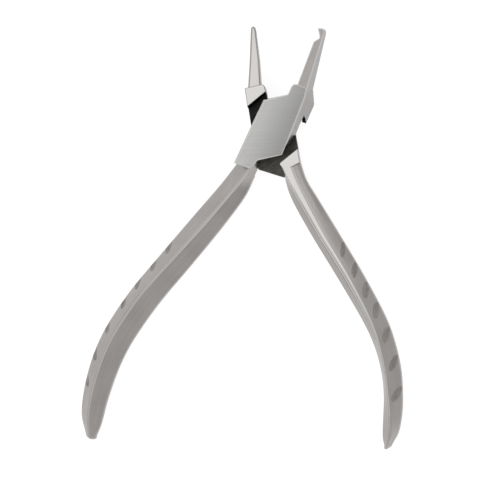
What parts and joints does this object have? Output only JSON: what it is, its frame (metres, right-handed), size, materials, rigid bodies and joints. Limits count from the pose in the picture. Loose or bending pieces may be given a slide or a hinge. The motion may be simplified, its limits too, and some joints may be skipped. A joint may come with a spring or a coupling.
{
  "type": "lap-joint pliers",
  "caption": "Spread steel pliers with a lap joint on a flush rivet, a straight tapered jaw opposite a small hooked jaw, and bowed handles with ground grip notches.",
  "frame": {"origin": "on the pivot axis, at the rear faces that lie on the bench", "axes": "+Z along the pivot towards the front face, +Y towards the jaw tips, +X to the right as the front face is seen"},
  "size_m": [0.1025, 0.1317, 0.01],
  "materials": {
    "front_lever_steel": "satin ground stainless steel",
    "rear_lever_steel": "satin ground stainless steel with brighter ground shoulders and dark lap faces",
    "rivet_steel": "ground flush with the levers"
  },
  "bodies": {
    "front_lever": {"front_lever": "front_lever_steel", "pivot_rivet": "rivet_steel"},
    "rear_lever": {"rear_lever": "rear_lever_steel"}
  },
  "joints": [
    {"name": "jaw_pivot", "type": "hinge", "parent": "front_lever", "child": "rear_lever", "pos_m": [0, 0, 0.005], "axis": [0, 0, -1], "range_deg": [0, 34.7]}
  ]
}
